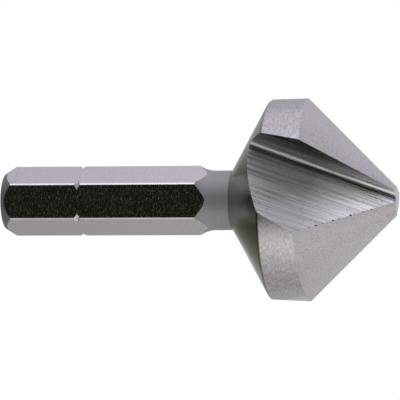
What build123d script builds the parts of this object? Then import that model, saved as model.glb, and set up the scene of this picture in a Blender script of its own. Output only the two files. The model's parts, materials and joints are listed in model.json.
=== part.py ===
from build123d import *
from math import cos, radians, sin, sqrt, tan
import os

# A three-flute countersink bit with a hexagonal shank, turned and ground from one bar of steel.
# It is made upright, with its axis on Z and its shank end at the origin, and is then laid down.

# Driving dimensions, in millimetres and degrees

# Hexagonal shank
hex_across_flats = 6.3
hex_across_corners = 7.16
hex_length = 20.55
shank_end_diameter = 5.75
shank_end_angle = 33.0
runout_radius = 3.0

# Groove turned into the six corners, where a quick-change chuck grips
notch_station = 8.2
notch_root_diameter = 6.72
notch_angle = 105.0

# Neck and head
neck_diameter = 6.14
neck_length = 1.82
neck_fillet = 0.25
back_cone_angle = 120.0
back_rim_fillet = 0.3
band_length = 4.0
band_taper = 0.095
head_diameter = 20.84
point_angle = 90.0
tip_diameter = 3.3

# Flutes and the ground lands between them, seen along the axis at the front rim
flute_count = 3
flute_root_angle = 7.5
flute_root_radius = 4.85
flute_root_fillet = 1.0
flute_slope_angle = 25.4
edge_lead_angle = 16.0
flute_opening_angle = 55.0
land_relief = 0.39
land_relief_angle = 60.0

# Radii and stations along the axis that follow from them

end_radius = shank_end_diameter / 2
corner_radius = hex_across_corners / 2
neck_radius = neck_diameter / 2
head_radius = head_diameter / 2
back_rim_radius = head_radius - band_taper
tip_radius = tip_diameter / 2
chamfer_end = (corner_radius - end_radius) / tan(radians(shank_end_angle))
runout_drop = corner_radius - neck_radius
runout_end = hex_length + sqrt(2 * runout_radius * runout_drop - runout_drop**2)
neck_end = runout_end + neck_length
back_rim = neck_end + (back_rim_radius - neck_radius) / tan(radians(back_cone_angle / 2))
front_rim = back_rim + band_length
overall_length = front_rim + (head_radius - tip_radius) / tan(radians(point_angle / 2))
edge_angle = flute_root_angle + edge_lead_angle


def around(radius, angle):
    """The point of the axial view at this radius and at this angle from the X axis."""
    return radius * cos(radians(angle)), radius * sin(radians(angle))


# Land relief: the ring of stock that the wheel takes off one third of the point. Its inner face is
# a cone whose axis is shifted towards the cutting edge, so that the land falls away behind it.
quarter_turn_angle = 90.0
relief_arc = 360 / flute_count
relief_shift = land_relief / 2 / sin(radians(land_relief_angle / 2))
relief_start = edge_angle + flute_opening_angle / 4 - relief_arc
relief_axis_x, relief_axis_y = around(
    relief_shift, edge_angle + quarter_turn_angle - land_relief_angle / 2
)
stock = 2 * land_relief
ring_radius = head_radius + stock
ring_top = overall_length + stock
ring_top_radius = tip_radius - land_relief / 2 - stock * tan(radians(point_angle / 2))
ring_bottom = ring_top - (ring_radius - ring_top_radius) / tan(radians(point_angle / 2))
relief_plane = Plane(
    origin=(relief_axis_x, relief_axis_y, 0),
    x_dir=(*around(1, relief_start), 0),
    z_dir=(*around(1, relief_start - quarter_turn_angle), 0),
)

with BuildPart() as relief_ring:
    with BuildSketch(relief_plane):
        with BuildLine():
            Polyline(
                (ring_radius, ring_bottom),
                (ring_radius, ring_top),
                (ring_top_radius, ring_top),
                close=True,
            )
        make_face()
    revolve(axis=Axis((relief_axis_x, relief_axis_y, 0), (0, 0, 1)), revolution_arc=relief_arc)

# Flute: a V with a rounded root, drawn across the front rim and run along its sloping root line,
# which meets the axis beyond the tip. Its steep side is the rake face, up to the cutting edge.
root = Vector(*around(flute_root_radius, flute_root_angle))
edge_corner = Vector(*around(head_radius, edge_angle))
heel_corner = Vector(*around(head_radius, edge_angle + flute_opening_angle))
reach = 2 * head_radius
root_drop = sin(radians(flute_slope_angle))
flute_run = Vector(*around(-root_drop, flute_root_angle), cos(radians(flute_slope_angle)))
flute_start = Plane(origin=Vector(0, 0, front_rim) - flute_run * head_radius, z_dir=(0, 0, 1))

with BuildPart() as flute:
    with BuildSketch(flute_start):
        with BuildLine():
            Polyline(
                root,
                root + (edge_corner - root).normalized() * reach,
                root + (heel_corner - root).normalized() * reach,
                close=True,
            )
        make_face()
        fillet(vertices().sort_by_distance(root)[0], flute_root_fillet)
    extrude(amount=overall_length, dir=flute_run)

with BuildPart() as upright_bit:
    # Hexagonal bar, turned down at its end, at its corners and into the neck
    with BuildSketch():
        RegularPolygon(hex_across_flats / 2, 6, major_radius=False, rotation=30)
    extrude(amount=runout_end)
    with BuildSketch(Plane.XZ):
        with BuildLine():
            Polyline(
                (neck_radius, runout_end),
                (0, runout_end),
                (0, 0),
                (end_radius, 0),
                (corner_radius, chamfer_end),
                (corner_radius, hex_length),
            )
            RadiusArc((corner_radius, hex_length), (neck_radius, runout_end), runout_radius)
        make_face()
    revolve(mode=Mode.INTERSECT)

    # Notches, where the turned groove reaches only the corners
    notch_depth = corner_radius - notch_root_diameter / 2
    notch_half_width = notch_depth * tan(radians(notch_angle / 2))
    with BuildSketch(Plane.XZ):
        with BuildLine():
            Polyline(
                (notch_root_diameter / 2, notch_station),
                (corner_radius + notch_depth, notch_station + 2 * notch_half_width),
                (corner_radius + notch_depth, notch_station - 2 * notch_half_width),
                close=True,
            )
        make_face()
    revolve(mode=Mode.SUBTRACT)

    # Neck and head, with stock left on the point for the lands
    with BuildSketch(Plane.XZ):
        with BuildLine():
            Polyline(
                (0, runout_end),
                (neck_radius, runout_end),
                (neck_radius, neck_end),
                (back_rim_radius, back_rim),
                (head_radius, front_rim + land_relief),
                (tip_radius + land_relief * tan(radians(point_angle / 2)), overall_length),
                (0, overall_length),
                close=True,
            )
        make_face()
        fillet(vertices().sort_by_distance((neck_radius, neck_end))[0], neck_fillet)
        fillet(vertices().sort_by_distance((back_rim_radius, back_rim))[0], back_rim_fillet)
    revolve()

    with PolarLocations(0, flute_count):
        add(relief_ring.part, mode=Mode.SUBTRACT)
    with PolarLocations(0, flute_count):
        add(flute.part, mode=Mode.SUBTRACT)

# At rest the bit lies with a flute downwards, on the two head corners beside that flute and on the
# nearest corner of the shank's end. The ground is the plane through these three points.
flute_middle = edge_angle + flute_opening_angle / 2
rim_arcs = upright_bit.edges().filter_by(GeomType.CIRCLE).filter_by(lambda e: e.radius > back_rim_radius)
below_head = Vector(*around(head_radius, flute_middle), back_rim)
below_shank = Vector(*around(corner_radius, flute_middle), chamfer_end)
head_rests = [v.center() for v in rim_arcs.vertices().sort_by_distance(below_head)[:2]]
shank_rest = upright_bit.vertices().sort_by_distance(below_shank)[0].center()

tool_axis = Vector(0, 0, 1)
up = (head_rests[0] - shank_rest).cross(head_rests[1] - shank_rest).normalized()
if up.dot(below_head) > 0:
    up = -up
ground = Plane(origin=shank_rest, x_dir=tool_axis - up * tool_axis.dot(up), z_dir=up)
laid_down = ground.to_local_coords(upright_bit.part)
box = laid_down.bounding_box()

with BuildPart() as countersink_bit:
    with Locations((-box.center().X, -box.center().Y, -box.min.Z)):
        add(laid_down)

countersink_bit.part.label = "countersink_bit"
os.makedirs("parts", exist_ok=True)
export_step(countersink_bit.part, "parts/countersink_bit.step")
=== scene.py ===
import json
from math import atan2, cos, pi, radians, sin, sqrt, tan

import bpy
from mathutils import Matrix, Vector


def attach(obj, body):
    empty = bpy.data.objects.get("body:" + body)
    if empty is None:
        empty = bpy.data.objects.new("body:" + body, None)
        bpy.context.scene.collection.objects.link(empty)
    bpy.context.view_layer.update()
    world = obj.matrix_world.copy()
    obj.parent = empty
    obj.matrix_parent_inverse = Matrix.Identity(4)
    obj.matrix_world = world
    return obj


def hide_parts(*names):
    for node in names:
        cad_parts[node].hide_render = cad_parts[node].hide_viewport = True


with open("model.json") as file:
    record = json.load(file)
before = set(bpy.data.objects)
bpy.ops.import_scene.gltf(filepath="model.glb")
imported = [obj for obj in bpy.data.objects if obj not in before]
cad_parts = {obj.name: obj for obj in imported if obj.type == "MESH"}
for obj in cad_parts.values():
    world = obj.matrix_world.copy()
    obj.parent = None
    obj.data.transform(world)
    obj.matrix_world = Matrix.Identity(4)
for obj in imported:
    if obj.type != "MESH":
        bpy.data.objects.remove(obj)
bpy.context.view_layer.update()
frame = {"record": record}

# ---------------------------------------------------------------------------------------------
# Turned blank. One bar of high-speed steel, turned between its shank end and its point: end
# chamfer, grip groove, run-out, neck, back cone, band and point, with stock left for the lands.
# It is made upright, with its axis on Z and its shank end at the origin.
# ---------------------------------------------------------------------------------------------

mm = 0.001

shank_end = next(m for m in frame["record"]["mounts"] if m["name"] == "shank_end")
tool_axis = -Vector(shank_end["axis"])
lying_roll = radians(-42.0803)
lying = (
    Matrix.Translation(shank_end["pos_m"])
    @ Matrix.Rotation(atan2(tool_axis.x, tool_axis.z), 4, "Y")
    @ Matrix.Rotation(lying_roll, 4, "Z")
)

hex_across_flats = 6.3 * mm
hex_across_corners = 7.16 * mm
hex_length = 20.55 * mm
shank_end_diameter = 5.75 * mm
shank_end_angle = radians(33)
runout_radius = 3.0 * mm
groove_station = 8.2 * mm
groove_root_diameter = 6.72 * mm
groove_angle = radians(105)
neck_diameter = 6.14 * mm
neck_length = 1.82 * mm
neck_fillet = 0.25 * mm
back_cone_angle = radians(120)
back_rim_fillet = 0.3 * mm
band_length = 4.0 * mm
band_taper = 0.095 * mm
head_diameter = 20.84 * mm
point_angle = radians(90)
tip_diameter = 3.3 * mm
land_relief = 0.39 * mm

corner_radius = hex_across_corners / 2
end_radius = shank_end_diameter / 2
neck_radius = neck_diameter / 2
head_radius = head_diameter / 2
back_rim_radius = head_radius - band_taper
tip_radius = tip_diameter / 2
groove_root_radius = groove_root_diameter / 2
groove_half_width = (corner_radius - groove_root_radius) * tan(groove_angle / 2)
chamfer_end = (corner_radius - end_radius) / tan(shank_end_angle)
runout_drop = corner_radius - neck_radius
runout_reach = sqrt(2 * runout_radius * runout_drop - runout_drop**2)
runout_turn = atan2(runout_reach, runout_radius - runout_drop)
runout_end = hex_length + runout_reach
neck_end = runout_end + neck_length
back_rim = neck_end + (back_rim_radius - neck_radius) / tan(back_cone_angle / 2)
front_rim = back_rim + band_length
overall_length = front_rim + (head_radius - tip_radius) / tan(point_angle / 2)

turning_steps = 360
runout_steps = 14
neck_fillet_steps = 12
back_rim_fillet_steps = 16
seam_gap = 0.0001 * mm
pick_distance = 0.001 * mm


def add_node(steel, kind, inputs=(), **settings):
    """A new node in this finish, with these settings, and with values or links for its inputs."""
    node = steel.node_tree.nodes.new(kind)
    for name, value in settings.items():
        setattr(node, name, value)
    for socket, value in dict(inputs).items():
        if isinstance(value, bpy.types.NodeSocket):
            steel.node_tree.links.new(value, node.inputs[socket])
        else:
            node.inputs[socket].default_value = value
    return node


def grain(steel, size, detail=3.0, harshness=0.55):
    """Noise from 0 to 1 whose marks have this size across, across and along the tool's axis."""
    place = add_node(
        steel,
        "ShaderNodeMapping",
        {
            "Vector": add_node(steel, "ShaderNodeTexCoord").outputs["Object"],
            "Location": lying.translation,
            "Rotation": lying.to_euler(),
            "Scale": size,
        },
        vector_type="TEXTURE",
    )
    noise = add_node(
        steel,
        "ShaderNodeTexNoise",
        {"Vector": place.outputs["Vector"], "Scale": 1.0, "Detail": detail, "Roughness": harshness},
    )
    return noise.outputs["Fac"]


def ramp(steel, value, low, high, to_low=0.0, to_high=1.0):
    """The value moved from the range low to high into the range to_low to to_high, and clamped."""
    moved = add_node(
        steel,
        "ShaderNodeMapRange",
        {"Value": value, "From Min": low, "From Max": high, "To Min": to_low, "To Max": to_high},
    )
    return moved.outputs["Result"]


def mix_colour(steel, factor, first, second):
    """A colour between two others."""
    mix = add_node(steel, "ShaderNodeMix", data_type="RGBA")
    for socket, value in zip((mix.inputs[0], mix.inputs[6], mix.inputs[7]), (factor, first, second)):
        if isinstance(value, bpy.types.NodeSocket):
            steel.node_tree.links.new(value, socket)
        else:
            socket.default_value = (*value, 1.0)
    return mix.outputs[2]


def new_steel(name):
    """A bare steel finish, to be given its colour, roughness and relief."""
    steel = bpy.data.materials.new(name)
    steel.use_nodes = True
    shader = steel.node_tree.nodes["Principled BSDF"]
    shader.inputs["Metallic"].default_value = 1.0
    return steel


def finish_steel(steel, colour, roughness, relief, depth, edge_rounding):
    """Gives a finish its colour, its roughness and a relief of this depth over rounded edges."""
    shader = steel.node_tree.nodes["Principled BSDF"]
    rounded = add_node(steel, "ShaderNodeBevel", {"Radius": edge_rounding}, samples=4)
    bump = add_node(
        steel,
        "ShaderNodeBump",
        {"Strength": 1.0, "Distance": depth, "Height": relief, "Normal": rounded.outputs["Normal"]},
    )
    links = steel.node_tree.links
    links.new(colour, shader.inputs["Base Color"])
    links.new(roughness, shader.inputs["Roughness"])
    links.new(bump.outputs["Normal"], shader.inputs["Normal"])


turned_steel = new_steel("turned steel")
turning_lines = grain(turned_steel, (3.0 * mm, 3.0 * mm, 0.05 * mm), detail=4.0)
clouds = grain(turned_steel, (2.5 * mm, 2.5 * mm, 2.5 * mm))
turned_dull = (0.50, 0.495, 0.475)
turned_bright = (0.58, 0.565, 0.555)
finish_steel(
    turned_steel,
    colour=mix_colour(turned_steel, ramp(turned_steel, clouds, 0.35, 0.65), turned_dull, turned_bright),
    roughness=ramp(turned_steel, turning_lines, 0.3, 0.7, 0.18, 0.26),
    relief=turning_lines,
    depth=0.003 * mm,
    edge_rounding=0.06 * mm,
)


def marked_steel(name, size, dull, bright, shading, roughness, depth, edge_rounding, **marking):
    """A steel finish with marks of one kind, which set its colour, its roughness and its relief."""
    steel = new_steel(name)
    marks = grain(steel, size, **marking)
    finish_steel(
        steel,
        colour=mix_colour(steel, ramp(steel, marks, *shading), dull, bright),
        roughness=ramp(steel, marks, 0.3, 0.7, *roughness),
        relief=marks,
        depth=depth,
        edge_rounding=edge_rounding,
    )
    return steel


neck_steel = marked_steel(
    "turned neck",
    size=(3.0 * mm, 3.0 * mm, 0.06 * mm),
    dull=(0.44, 0.45, 0.43),
    bright=(0.56, 0.56, 0.55),
    shading=(0.3, 0.7),
    roughness=(0.66, 0.78),
    depth=0.004 * mm,
    edge_rounding=0.06 * mm,
    detail=4.0,
)
band_steel = marked_steel(
    "ground band",
    size=(0.35 * mm, 0.35 * mm, 0.14 * mm),
    dull=(0.44, 0.435, 0.415),
    bright=(0.66, 0.645, 0.63),
    shading=(0.36, 0.64),
    roughness=(0.28, 0.38),
    depth=0.010 * mm,
    edge_rounding=0.03 * mm,
)
groove_steel = marked_steel(
    "formed groove",
    size=(0.16 * mm, 0.16 * mm, 0.16 * mm),
    dull=(0.30, 0.29, 0.26),
    bright=(0.92, 0.91, 0.89),
    shading=(0.38, 0.52),
    roughness=(0.50, 0.36),
    depth=0.015 * mm,
    edge_rounding=0.03 * mm,
    detail=2.0,
)


def line_through(name, points):
    """A new mesh object that is one open line through these points."""
    bpy.ops.object.select_all(action="DESELECT")
    bpy.ops.mesh.primitive_plane_add(size=mm, location=points[0])
    piece = bpy.context.active_object
    piece.name = name
    bpy.ops.object.transform_apply(location=True)
    bpy.context.tool_settings.mesh_select_mode = (True, False, False)
    bpy.ops.object.mode_set(mode="EDIT")
    bpy.ops.mesh.select_all(action="SELECT")
    bpy.ops.mesh.merge(type="CENTER")
    for start, end in zip(points, points[1:]):
        step = Vector(end) - Vector(start)
        bpy.ops.mesh.extrude_vertices_move(TRANSFORM_OT_translate={"value": step})
    bpy.ops.object.mode_set(mode="OBJECT")
    return piece


def round_corner(piece, corner, offset, segments):
    """Rounds the point of a line that lies at this place."""
    bpy.ops.object.mode_set(mode="EDIT")
    bpy.ops.mesh.select_all(action="DESELECT")
    bpy.ops.object.mode_set(mode="OBJECT")
    for point in piece.data.vertices:
        point.select = (point.co - Vector(corner)).length < pick_distance
    bpy.ops.object.mode_set(mode="EDIT")
    bpy.ops.mesh.bevel(offset=offset, segments=segments, affect="VERTICES")
    bpy.ops.object.mode_set(mode="OBJECT")


def turn(piece, angle, steps, centre=(0, 0, 0)):
    """Spins a line about an upright axis into a closed shell with its faces outwards."""
    bpy.context.view_layer.objects.active = piece
    bpy.ops.object.mode_set(mode="EDIT")
    bpy.ops.mesh.select_all(action="SELECT")
    bpy.ops.mesh.spin(steps=steps, angle=-angle, center=centre, axis=(0, 0, 1))
    bpy.ops.mesh.select_all(action="SELECT")
    bpy.ops.mesh.remove_doubles(threshold=seam_gap)
    bpy.ops.mesh.fill_holes(sides=0)
    bpy.ops.mesh.select_all(action="SELECT")
    bpy.ops.mesh.normals_make_consistent(inside=False)
    bpy.ops.object.mode_set(mode="OBJECT")


def corner_fillet(radius, turned_by):
    """How far from a corner its fillet starts, where the outline turns by this angle."""
    return radius * tan(turned_by / 2)


runout = []
for i in range(runout_steps + 1):
    angle = runout_turn * (1 - i / runout_steps)
    runout.append(
        (neck_radius + runout_radius * (1 - cos(angle)), 0, runout_end - runout_radius * sin(angle))
    )
outline = [
    (0, 0, 0),
    (end_radius, 0, 0),
    (corner_radius, 0, chamfer_end),
    (corner_radius, 0, groove_station - groove_half_width),
    (groove_root_radius, 0, groove_station),
    (corner_radius, 0, groove_station + groove_half_width),
    *runout,
    (neck_radius, 0, neck_end),
    (back_rim_radius, 0, back_rim),
    (head_radius, 0, front_rim + land_relief),
    (tip_radius + land_relief * tan(point_angle / 2), 0, overall_length),
    (0, 0, overall_length),
]
bit = line_through("ground_countersink_bit", outline)
cone_turn = back_cone_angle / 2
neck_corner = (neck_radius, 0, neck_end)
rim_corner = (back_rim_radius, 0, back_rim)
round_corner(bit, neck_corner, corner_fillet(neck_fillet, cone_turn), neck_fillet_steps)
round_corner(bit, rim_corner, corner_fillet(back_rim_fillet, cone_turn), back_rim_fillet_steps)
turn(bit, 2 * pi, turning_steps)


def blank_finish(station):
    """The blank's finish at this distance from the shank's end; the chamfer's is the neck's."""
    if station < chamfer_end or hex_length < station < neck_end:
        return neck_steel
    if back_rim < station < front_rim + land_relief:
        return band_steel
    if abs(station - groove_station) < groove_half_width:
        return groove_steel
    return turned_steel


for finish in (turned_steel, neck_steel, band_steel, groove_steel):
    bit.data.materials.append(finish)
for face in bit.data.polygons:
    face.material_index = bit.data.materials.find(blank_finish(face.center.z).name)

# ---------------------------------------------------------------------------------------------
# Six flats. The sides of the hexagonal drive, of the same steel, bright, with fine short marks
# across them. A ring with a six-sided bore cuts them and leaves the blank's corners round.
# ---------------------------------------------------------------------------------------------

flat_distance = hex_across_flats / 2
flats_runout = sqrt(2 * runout_radius * (flat_distance - neck_radius))
# The ring ends half way down the flats' run-out, where the blank is already inside its bore
flats_end = runout_end - flats_runout / 2
ring_wall = 1.0 * mm


def edit_faces(piece, wanted):
    """Opens the piece for editing with just the faces picked for which wanted(face) is true."""
    bpy.context.tool_settings.mesh_select_mode = (False, False, True)
    bpy.ops.object.mode_set(mode="EDIT")
    bpy.ops.mesh.select_all(action="DESELECT")
    bpy.ops.object.mode_set(mode="OBJECT")
    for face in piece.data.polygons:
        face.select = wanted(face)
    bpy.ops.object.mode_set(mode="EDIT")


def face_outwards():
    """Turns the faces of the piece being edited outwards and ends the edit."""
    bpy.ops.mesh.select_all(action="SELECT")
    bpy.ops.mesh.normals_make_consistent(inside=False)
    bpy.ops.object.mode_set(mode="OBJECT")


bpy.ops.object.select_all(action="DESELECT")
bpy.ops.mesh.primitive_cylinder_add(
    vertices=6,
    radius=(flat_distance + ring_wall) / cos(pi / 6),
    depth=flats_end + ring_wall,
    location=(0, 0, (flats_end - ring_wall) / 2),
)
milling_ring = bpy.context.active_object
bpy.ops.object.transform_apply(location=True)
edit_faces(milling_ring, lambda face: abs(face.normal.z) > 0.9)
bpy.ops.mesh.inset(thickness=ring_wall)
bpy.ops.mesh.bridge_edge_loops()
face_outwards()


def cut(piece, cutter):
    """Takes the cutter's volume off the piece; the cut faces get the cutter's finish."""
    cutting = piece.modifiers.new("cut", "BOOLEAN")
    cutting.operation = "DIFFERENCE"
    cutting.solver = "EXACT"
    cutting.material_mode = "TRANSFER"
    cutting.object = cutter
    bpy.context.view_layer.objects.active = piece
    bpy.ops.object.modifier_apply(modifier=cutting.name)
    bpy.data.objects.remove(cutter)


flat_steel = new_steel("drawn flats")
strokes = grain(flat_steel, (0.34 * mm, 0.34 * mm, 0.09 * mm), detail=2.0)
specks = grain(flat_steel, (0.09 * mm, 0.09 * mm, 0.09 * mm), detail=2.0, harshness=0.7)
speck_share = 0.4
drawn_marks = add_node(flat_steel, "ShaderNodeMix", {0: speck_share, 2: strokes, 3: specks}).outputs[0]
flat_dull = (0.55, 0.545, 0.515)
flat_bright = (0.65, 0.64, 0.62)
finish_steel(
    flat_steel,
    colour=mix_colour(flat_steel, ramp(flat_steel, drawn_marks, 0.35, 0.65), flat_dull, flat_bright),
    roughness=ramp(flat_steel, drawn_marks, 0.46, 0.70, 0.10, 0.46),
    relief=drawn_marks,
    depth=0.012 * mm,
    edge_rounding=0.06 * mm,
)
milling_ring.data.materials.append(flat_steel)
cut(bit, milling_ring)

# ---------------------------------------------------------------------------------------------
# Relieved lands. The ground faces of the point between its flutes, with a fine dull speckle.
# Each is part of a cone whose axis stands a little off the bit's own, so that the land falls
# away from its cutting edge to its heel.
# ---------------------------------------------------------------------------------------------

flute_count = 3
flute_root_angle = radians(7.5)
edge_lead_angle = radians(16)
flute_opening_angle = radians(55)
land_relief_angle = radians(60)
edge_angle = flute_root_angle + edge_lead_angle
heel_angle = edge_angle + flute_opening_angle
sector = 2 * pi / flute_count
relief_steps = 120


def around(radius, angle, height=0):
    """The point at this radius and height, and at this angle from X about the axis."""
    return Vector((radius * cos(angle), radius * sin(angle), height))


relief_shift = land_relief / 2 / sin(land_relief_angle / 2)
relief_axis = around(relief_shift, edge_angle + pi / 2 - land_relief_angle / 2)
relief_start = edge_angle + flute_opening_angle / 4 - sector


def land_axis(i):
    """Where the axis of this land's cone stands."""
    return Matrix.Rotation(i * sector, 3, "Z") @ relief_axis


def land_radius(station):
    """The radius of a land's cone at this distance from the shank's end."""
    return tip_radius - land_relief / 2 + (overall_length - station) * tan(point_angle / 2)


stock = 2 * land_relief
ring_radius = head_radius + stock
ring_top = overall_length + stock
ring_top_radius = land_radius(ring_top)
ring_bottom = ring_top - (ring_radius - ring_top_radius) / tan(point_angle / 2)

land_steel = marked_steel(
    "ground land",
    size=(0.11 * mm, 0.11 * mm, 0.11 * mm),
    dull=(0.40, 0.39, 0.375),
    bright=(0.66, 0.65, 0.64),
    shading=(0.36, 0.64),
    roughness=(0.30, 0.40),
    depth=0.003 * mm,
    edge_rounding=0.03 * mm,
    detail=2.0,
    harshness=0.7,
)

for i in range(flute_count):
    start_angle = relief_start + i * sector
    corners = [
        land_axis(i) + around(ring_radius, start_angle, ring_bottom),
        land_axis(i) + around(ring_radius, start_angle, ring_top),
        land_axis(i) + around(ring_top_radius, start_angle, ring_top),
    ]
    relief_ring = line_through("relief ring", [*corners, corners[0]])
    turn(relief_ring, sector, relief_steps, land_axis(i))
    relief_ring.data.materials.append(land_steel)
    cut(bit, relief_ring)

# ---------------------------------------------------------------------------------------------
# Flutes. Three straight V grooves with a rounded root, ground into the head. The wheel nears
# the axis as it runs towards the tip, and leaves its scratches along each groove.
# ---------------------------------------------------------------------------------------------

flute_root_radius = 4.85 * mm
flute_root_fillet = 1.0 * mm
flute_fillet_steps = 24
flute_slope_angle = radians(25.4)
wheel_reach = 2 * head_radius

flute_steel = new_steel("ground flute")
stroke_map = add_node(flute_steel, "ShaderNodeUVMap", uv_map="stroke").outputs["UV"]


def scratches(length, width, detail=2.0, harshness=0.55):
    """Noise drawn out along the wheel's stroke into marks of this length and width."""
    drawn = add_node(
        flute_steel,
        "ShaderNodeMapping",
        {"Vector": stroke_map, "Scale": (length / mm, width / mm, 1.0)},
        vector_type="TEXTURE",
    )
    noise = add_node(
        flute_steel,
        "ShaderNodeTexNoise",
        {"Vector": drawn.outputs["Vector"], "Scale": 1.0, "Detail": detail, "Roughness": harshness},
        noise_dimensions="2D",
    )
    return noise.outputs["Fac"]


def combined(steel, operation, *values):
    """One number made of others, such as their product or the greatest of them."""
    node = add_node(steel, "ShaderNodeMath", dict(enumerate(values)), operation=operation)
    return node.outputs[0]


fine = scratches(12.0 * mm, 0.16 * mm, detail=3.0)
broad = scratches(18.0 * mm, 0.6 * mm)
broad_share = 0.4
all_scratches = combined(flute_steel, "MULTIPLY_ADD", broad, broad_share, fine)
scratch_dull = (0.50, 0.50, 0.46)
scratch_bright = (0.98, 0.98, 0.97)
streaking = ramp(flute_steel, all_scratches, 0.58, 0.82)
streaked = mix_colour(flute_steel, streaking, scratch_dull, scratch_bright)
# Painted shade: each flute's colour is darker at its back, by the band, than towards the tip; it also
# has small dark pits
along_stroke = add_node(flute_steel, "ShaderNodeSeparateXYZ", {0: stroke_map}).outputs["X"]
pits = grain(flute_steel, (0.22 * mm, 0.22 * mm, 0.22 * mm), detail=1.0)
# The ramp along the stroke is painted shade; the pits are the steel's own marks
painted_shade_and_pits = combined(
    flute_steel,
    "MULTIPLY",
    ramp(flute_steel, along_stroke, 0.5, 6.0, 0.50, 0.88),
    ramp(flute_steel, pits, 0.24, 0.29),
)
pit_colour = (0.02, 0.02, 0.014)
finish_steel(
    flute_steel,
    colour=mix_colour(flute_steel, painted_shade_and_pits, pit_colour, streaked),
    roughness=ramp(flute_steel, fine, 0.35, 0.65, 0.14, 0.46),
    relief=all_scratches,
    depth=0.020 * mm,
    edge_rounding=0.03 * mm,
)


def flute_root(i):
    """The root of this flute at the front rim, as a point seen along the axis."""
    return around(flute_root_radius, flute_root_angle + i * sector)


def wheel_run(i):
    """The way that the wheel runs along this flute, inwards and towards the tip."""
    return around(-sin(flute_slope_angle), flute_root_angle + i * sector, cos(flute_slope_angle))


def flute_side(i, corner_angle):
    """The way from this flute's root to its cutting edge or its heel, whose angle this is."""
    return (around(head_radius, corner_angle + i * sector) - flute_root(i)).normalized()


for i in range(flute_count):
    run = wheel_run(i)
    rake = flute_side(i, edge_angle)
    floor_side = flute_side(i, heel_angle)
    start = Vector((0, 0, front_rim)) - run * head_radius + flute_root(i)
    wheel = line_through(
        "flute wheel", [start + rake * wheel_reach, start, start + floor_side * wheel_reach]
    )
    fillet_start = corner_fillet(flute_root_fillet, pi - rake.angle(floor_side))
    round_corner(wheel, start, fillet_start, flute_fillet_steps)
    bpy.ops.object.mode_set(mode="EDIT")
    bpy.ops.mesh.select_all(action="SELECT")
    bpy.ops.mesh.edge_face_add()
    bpy.ops.mesh.extrude_region_move(TRANSFORM_OT_translate={"value": run * overall_length})
    face_outwards()
    wheel.data.materials.append(flute_steel)
    cut(bit, wheel)

# ---------------------------------------------------------------------------------------------
# Chipped heel. Small chips that have broken out of one land's heel, along the flute's
# floor. Each is a slim hollow that lies along the heel, coloured nearly black as painted shade.
# ---------------------------------------------------------------------------------------------

# The chips are real hollows; their near-black colour is painted shade in them
nick_painted_shade_steel = marked_steel(
    "chipped heel",
    size=(0.1 * mm, 0.1 * mm, 0.1 * mm),
    dull=(0.05, 0.05, 0.045),
    bright=(0.16, 0.16, 0.15),
    shading=(0.0, 1.0),
    roughness=(0.5, 0.8),
    depth=0.010 * mm,
    edge_rounding=0.02 * mm,
    detail=1.0,
)
nick_slimness = 0.55
heel_step = 0.02
nicked_flute = 2
# Where each chip sits on the way from the band to the tip, and its half length
nicks = (
    (0.12, 0.10 * mm),
    (0.19, 0.16 * mm),
    (0.26, 0.09 * mm),
    (0.36, 0.14 * mm),
    (0.42, 0.10 * mm),
    (0.54, 0.17 * mm),
    (0.67, 0.10 * mm),
    (0.75, 0.12 * mm),
)


def heel_point(share):
    """The point of the heel this share of the way from the band to the tip."""
    run = wheel_run(nicked_flute)
    floor_side = flute_side(nicked_flute, heel_angle)
    heel_axis = land_axis(nicked_flute + 1)
    height = share * (overall_length - front_rim)
    from_axis = flute_root(nicked_flute) + run * (height / run.z) - heel_axis
    from_axis.z = 0
    inward = from_axis.dot(floor_side)
    out = sqrt(inward**2 - from_axis.length_squared + land_radius(front_rim + height) ** 2) - inward
    return heel_axis + from_axis + floor_side * out + Vector((0, 0, front_rim + height))


for share, half_length in nicks:
    along_heel = heel_point(share + heel_step) - heel_point(share)
    bpy.ops.object.select_all(action="DESELECT")
    bpy.ops.mesh.primitive_ico_sphere_add(
        subdivisions=2,
        radius=half_length * nick_slimness,
        location=heel_point(share),
        rotation=along_heel.to_track_quat("X", "Z").to_euler(),
    )
    nick = bpy.context.active_object
    nick.scale.x = 1 / nick_slimness
    bpy.ops.object.transform_apply(location=True, rotation=True, scale=True)
    nick.data.materials.append(nick_painted_shade_steel)
    cut(bit, nick)

# ---------------------------------------------------------------------------------------------
# Finished bit. The whole bit is one piece of steel, so the slivers between its cuts are merged.
# The wheel's stroke runs along each flute, and the pattern's second direction goes round its V.
# The bit is then laid down on its head's rim and its shank's end.
# ---------------------------------------------------------------------------------------------

sliver_width = 0.002 * mm
smooth_angle = radians(7)

bpy.ops.object.mode_set(mode="EDIT")
bpy.ops.mesh.select_all(action="SELECT")
bpy.ops.mesh.remove_doubles(threshold=sliver_width)
face_outwards()

flute_slot = bit.data.materials.find(flute_steel.name)
flute_middle_angle = (edge_angle + heel_angle) / 2
stroke = bit.data.uv_layers.new(name="stroke")
for face in bit.data.polygons:
    if face.material_index != flute_slot:
        continue
    face_angle = atan2(face.center.y, face.center.x)
    i = round((face_angle - flute_middle_angle) / sector)
    run = wheel_run(i)
    across = face.normal.cross(run).normalized()
    root = flute_root(i) + Vector((0, 0, front_rim))
    for corner in face.loop_indices:
        from_root = bit.data.vertices[bit.data.loops[corner].vertex_index].co - root
        stroke.data[corner].uv = (from_root.dot(run) / mm, from_root.dot(across) / mm)

bit.matrix_world = lying
bpy.ops.object.select_all(action="DESELECT")
bit.select_set(True)
bpy.ops.object.transform_apply(location=True, rotation=True)
bpy.ops.object.shade_smooth_by_angle(angle=smooth_angle)

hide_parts("countersink_bit")
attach(bit, "root")

# ---------------------------------------------------------------------------------------------
# Floor, light and camera. A round sheet of white paper under the bit, a room whose bright and
# dark sides the steel mirrors, and a long lens a little above the floor.
# ---------------------------------------------------------------------------------------------

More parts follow.
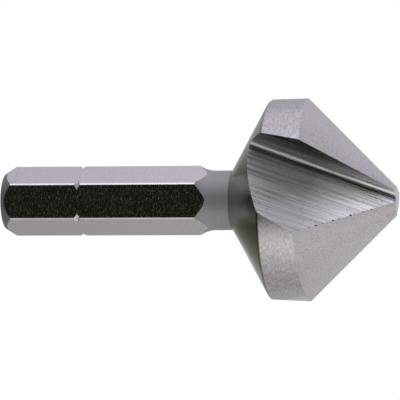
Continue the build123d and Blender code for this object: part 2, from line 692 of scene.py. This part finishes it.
sheet_centre = Vector((20, 14, 0)) * mm
sheet_radius = 20 * mm
paper_white = (0.60, 0.60, 0.60)
paper_seen = (1.0, 1.0, 1.0)
paper_mirrored = (0.97, 0.92, 0.99)
paper_glow = 1.16
seen_share = 0.84
mirrored_share = 0.55

bpy.ops.object.select_all(action="DESELECT")
bpy.ops.mesh.primitive_circle_add(
    vertices=128, radius=sheet_radius, fill_type="NGON", location=sheet_centre
)
floor = bpy.context.active_object
floor.name = "floor"
paper = bpy.data.materials.new("white paper")
paper.use_nodes = True
paper_shader = paper.node_tree.nodes["Principled BSDF"]
paper_shader.inputs["Base Color"].default_value = (*paper_white, 1.0)
paper_shader.inputs["Roughness"].default_value = 0.9
paper_shader.inputs["Specular IOR Level"].default_value = 0.1
paper_path = add_node(paper, "ShaderNodeLightPath").outputs
to_camera = paper_path["Is Camera Ray"]
glow = add_node(
    paper,
    "ShaderNodeEmission",
    {"Color": mix_colour(paper, to_camera, paper_mirrored, paper_seen), "Strength": paper_glow},
)
to_steel = combined(
    paper, "MAXIMUM", paper_path["Is Glossy Ray"], paper_path["Is Transmission Ray"]
)
glow_share = combined(
    paper,
    "MAXIMUM",
    ramp(paper, to_camera, 0.0, 1.0, 0.0, seen_share),
    ramp(paper, to_steel, 0.0, 1.0, 0.0, mirrored_share),
)
sheet = add_node(
    paper, "ShaderNodeMixShader", {0: glow_share, 1: paper_shader.outputs[0], 2: glow.outputs[0]}
)
paper.node_tree.links.new(
    sheet.outputs[0], paper.node_tree.nodes["Material Output"].inputs["Surface"]
)
floor.data.materials.append(paper)

camera_azimuth = radians(8.672)
camera_elevation = radians(14.772)
camera_roll = radians(9.552)
camera_distance = 350 * mm
camera_target = Vector((0.122, -0.008, 7.639)) * mm
camera_lens = 305.556
camera_clip_start = 10 * mm

towards_camera = Vector(
    (
        sin(camera_azimuth) * cos(camera_elevation),
        -cos(camera_azimuth) * cos(camera_elevation),
        sin(camera_elevation),
    )
)
bpy.ops.object.camera_add(location=camera_target + towards_camera * camera_distance)
camera = bpy.context.active_object
camera.rotation_euler = (
    towards_camera.to_track_quat("Z", "Y").to_matrix() @ Matrix.Rotation(camera_roll, 3, "Z")
).to_euler()
camera.data.lens = camera_lens
camera.data.clip_start = camera_clip_start
bpy.context.scene.camera = camera
bpy.context.scene.view_settings.view_transform = "Standard"

world = bpy.data.worlds.new("studio")
world.use_nodes = True
bpy.context.scene.world = world
direction = add_node(world, "ShaderNodeTexCoord").outputs["Generated"]


def facing(side):
    """The cosine of the angle between a direction of the world and this side."""
    dot = add_node(world, "ShaderNodeVectorMath", {0: direction, 1: side}, operation="DOT_PRODUCT")
    return dot.outputs["Value"]


def brighter(light, *others):
    """The brightest of these lights."""
    for other in others:
        light = combined(world, "MAXIMUM", light, other)
    return light


def dimmed(light, *others):
    """A light multiplied by each of the others."""
    for other in others:
        light = combined(world, "MULTIPLY", light, other)
    return light


# The room's sides follow the bit: along it, out of the flat in front, and out of the top corner
front_flat_angle = radians(-60)
top_corner_angle = radians(-150)
along = facing(tool_axis)
front = facing(lying.to_3x3() @ around(1, front_flat_angle))
height = facing(lying.to_3x3() @ around(1, top_corner_angle))

# Light from above and from below, each with a narrow bright strip on the camera's side
over = brighter(ramp(world, front, 0.20, 0.55, 0.0, 3.8), ramp(world, front, 0.0, -0.5, 1.10, 1.18))
above = dimmed(ramp(world, height, 0.66, 0.86), over)
under = brighter(ramp(world, front, 0.42, 0.60, 0.0, 1.7), ramp(world, front, -0.2, 0.5, 0.57, 1.20))
below = dimmed(ramp(world, height, -0.28, -0.75), under)
# Light from behind the bit, and from beyond its tip
behind = dimmed(
    ramp(world, front, -0.05, -0.45),
    ramp(world, front, -0.80, -0.97, 1.0, 0.80),
    ramp(world, height, -0.6, 0.2, 0.71, 0.77),
)
tip_side = dimmed(ramp(world, along, 0.45, 0.85), ramp(world, front, 0.5, 0.1), 0.90)
# Beyond the shank's end the room is dim, but less so above, below and behind
shank_side = brighter(
    ramp(world, along, -0.80, 0.0),
    ramp(world, height, 0.25, 0.60, 0.0, 0.62),
    ramp(world, height, -0.3, -0.6, 0.0, 0.35),
    ramp(world, front, -0.72, -0.88, 0.0, 0.65),
)
lit = dimmed(brighter(above, below, behind, tip_side), shank_side)

# Dim light is yellow-green and full light nearly white, a little bluer from above
dark_room = (0.012, 0.012, 0.007)
dim_light = (0.94, 1.0, 0.74)
low_light = (1.0, 0.955, 1.01)
high_light = (0.99, 0.94, 1.09)
full_light = mix_colour(world, ramp(world, height, -0.2, 0.5), low_light, high_light)
tint = mix_colour(world, ramp(world, lit, 0.05, 0.5), dim_light, full_light)
room = mix_colour(world, lit, dark_room, tint)
# The strips are brighter than full light, so the mix goes past 1
room.node.clamp_factor = False

# The camera sees a white backdrop, and the steel mirrors some of it from straight behind
backdrop_white = (1.0, 1.0, 1.0)
room_path = add_node(world, "ShaderNodeLightPath").outputs
mirrored = brighter(room_path["Is Glossy Ray"], room_path["Is Transmission Ray"])
backdrop = dimmed(mirrored, ramp(world, front, -0.93, -1.0), ramp(world, along, -0.35, -0.10, 0.0, 0.25))
white = brighter(room_path["Is Camera Ray"], backdrop)
view = mix_colour(world, white, room, backdrop_white)
world.node_tree.links.new(view, world.node_tree.nodes["Background"].inputs["Color"])
